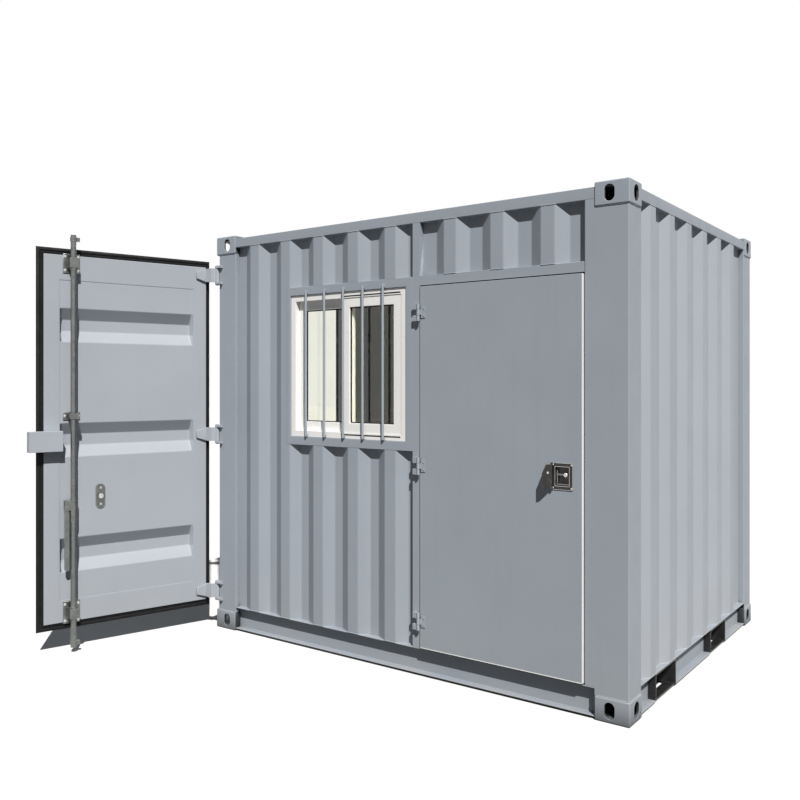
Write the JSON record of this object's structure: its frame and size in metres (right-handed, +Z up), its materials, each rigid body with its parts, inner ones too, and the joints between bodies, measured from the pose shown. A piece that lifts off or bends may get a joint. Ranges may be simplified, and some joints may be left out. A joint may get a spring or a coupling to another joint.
{
  "type": "container house",
  "caption": "Short steel container house with double cargo doors at one end, a personnel door and a sliding window in one long side, and forklift pockets.",
  "frame": {"origin": "centre of the four bottom lock slots, on the ground plane", "axes": "+Z up, +X towards the closed end with the forklift pockets, -Y towards the side with the personnel door and window"},
  "size_m": [3.2624, 3.3831, 2.591],
  "materials": {
    "painted_steel": "semi-gloss blue-grey paint with light wear at the edges",
    "pale_painted_steel": "semi-gloss paler blue-grey paint",
    "galvanised_steel": "dull galvanised steel with a faint spangle",
    "seal_rubber": "matt black rubber",
    "black_steel": "black paint, scuffed",
    "white_plastic": "white window plastic",
    "window_pane": "clear float glass",
    "floor_ply": "varnished plywood, scuffed"
  },
  "bodies": {
    "container": {"bottom_castings": "painted_steel", "top_castings": "painted_steel", "front_right_post": "painted_steel", "back_right_post": "painted_steel", "door_end_posts": "painted_steel", "bottom_side_rails": "painted_steel", "end_bottom_rail": "painted_steel", "door_sill": "painted_steel", "top_side_rails": "painted_steel", "end_top_rail": "painted_steel", "door_header": "painted_steel", "floor_beams": "painted_steel", "forklift_pockets": "black_steel", "floor_boards": "floor_ply", "roof_sheet": "painted_steel", "window_wall": "painted_steel", "lintel_panel": "painted_steel", "back_wall": "painted_steel", "end_wall": "pale_painted_steel", "personnel_doorway": "painted_steel", "window_surround": "painted_steel", "window_frame": "white_plastic", "window_sashes": "white_plastic", "window_glass": "window_pane", "cam_keepers": "galvanised_steel", "cargo_hinge_lugs": "pale_painted_steel", "door_hinge_butts": "painted_steel"},
    "front_cargo_door": {"front_leaf": "pale_painted_steel", "front_gasket": "seal_rubber", "front_blades": "pale_painted_steel", "front_bar_guides": "galvanised_steel", "lock_box": "painted_steel"},
    "front_bar": {"front_locking_bar": "galvanised_steel"},
    "front_bar_handle": {"front_handle": "galvanised_steel"},
    "rear_cargo_door": {"rear_leaf": "pale_painted_steel", "rear_gasket": "seal_rubber", "rear_blades": "pale_painted_steel", "rear_bar_guides": "galvanised_steel"},
    "rear_bar": {"rear_locking_bar": "galvanised_steel"},
    "rear_bar_handle": {"rear_handle": "galvanised_steel"},
    "personnel_door": {"door_leaf": "painted_steel", "door_hinge_flaps": "painted_steel", "latch_dish": "black_steel"},
    "flap": {"latch_flap": "black_steel"}
  },
  "joints": [
    {"name": "front_cargo_hinge", "type": "hinge", "parent": "container", "child": "front_cargo_door", "pos_m": [-1.421, -1.116, 0], "axis": [0, 0, 1], "range_deg": [-163.5, 96.5]},
    {"name": "front_bar_turn", "type": "hinge", "parent": "front_cargo_door", "child": "front_bar", "pos_m": [-1.70115, -2.00191, 0], "axis": [0, 0, 1], "range_deg": [0, 180]},
    {"name": "front_handle_lift", "type": "hinge", "parent": "front_bar", "child": "front_bar_handle", "pos_m": [-1.71251, -2.04027, 0.881], "axis": [-0.9588, 0.284, 0], "range_deg": [0, 90]},
    {"name": "rear_cargo_hinge", "type": "hinge", "parent": "container", "child": "rear_cargo_door", "pos_m": [-1.421, 1.116, 0], "axis": [0, 0, -1], "range_deg": [0, 260]},
    {"name": "rear_bar_turn", "type": "hinge", "parent": "rear_cargo_door", "child": "rear_bar", "pos_m": [-1.404, 0.187, 0], "axis": [0, 0, -1], "range_deg": [0, 180]},
    {"name": "rear_handle_lift", "type": "hinge", "parent": "rear_bar", "child": "rear_bar_handle", "pos_m": [-1.404, 0.147, 0.881], "axis": [-1, 0, 0], "range_deg": [0, 90]},
    {"name": "personnel_door_hinge", "type": "hinge", "parent": "container", "child": "personnel_door", "pos_m": [0.224, -1.134, 0], "axis": [0, 0, -1], "range_deg": [0, 150]},
    {"name": "latch_flap_hinge", "type": "hinge", "parent": "personnel_door", "child": "flap", "pos_m": [1.028, -1.133, 0], "axis": [0, 0, -1], "range_deg": [-125, 35]}
  ]
}
